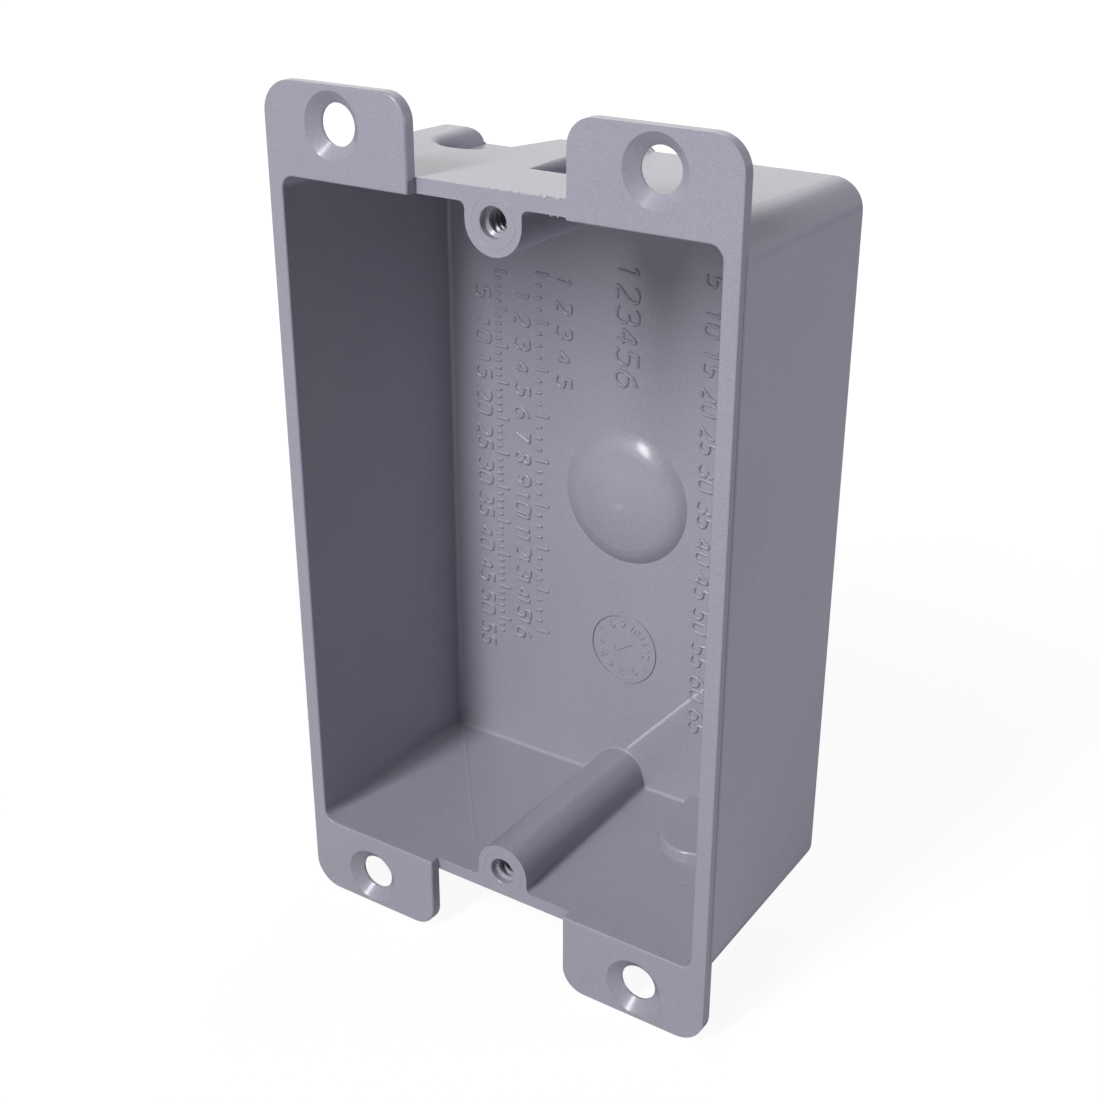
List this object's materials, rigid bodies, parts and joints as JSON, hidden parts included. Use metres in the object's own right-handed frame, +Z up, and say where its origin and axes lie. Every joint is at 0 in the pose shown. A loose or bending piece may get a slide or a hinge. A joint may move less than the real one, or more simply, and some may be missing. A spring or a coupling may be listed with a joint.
{
  "type": "switch box",
  "caption": "Shallow moulded plastic electrical switch box with four screw ears, device screw bosses and closed cable entries.",
  "frame": {"origin": "centre of the four ear holes, on the flange's seating face that lies against the wall", "axes": "+Z up as installed, +Y into the wall along the box's depth, +X to the right seen from the front"},
  "size_m": [0.061, 0.0317, 0.1084],
  "materials": {
    "moulded_box": "satin moulded, light grey"
  },
  "bodies": {
    "root": {"switch_box": "moulded_box"}
  },
  "joints": []
}
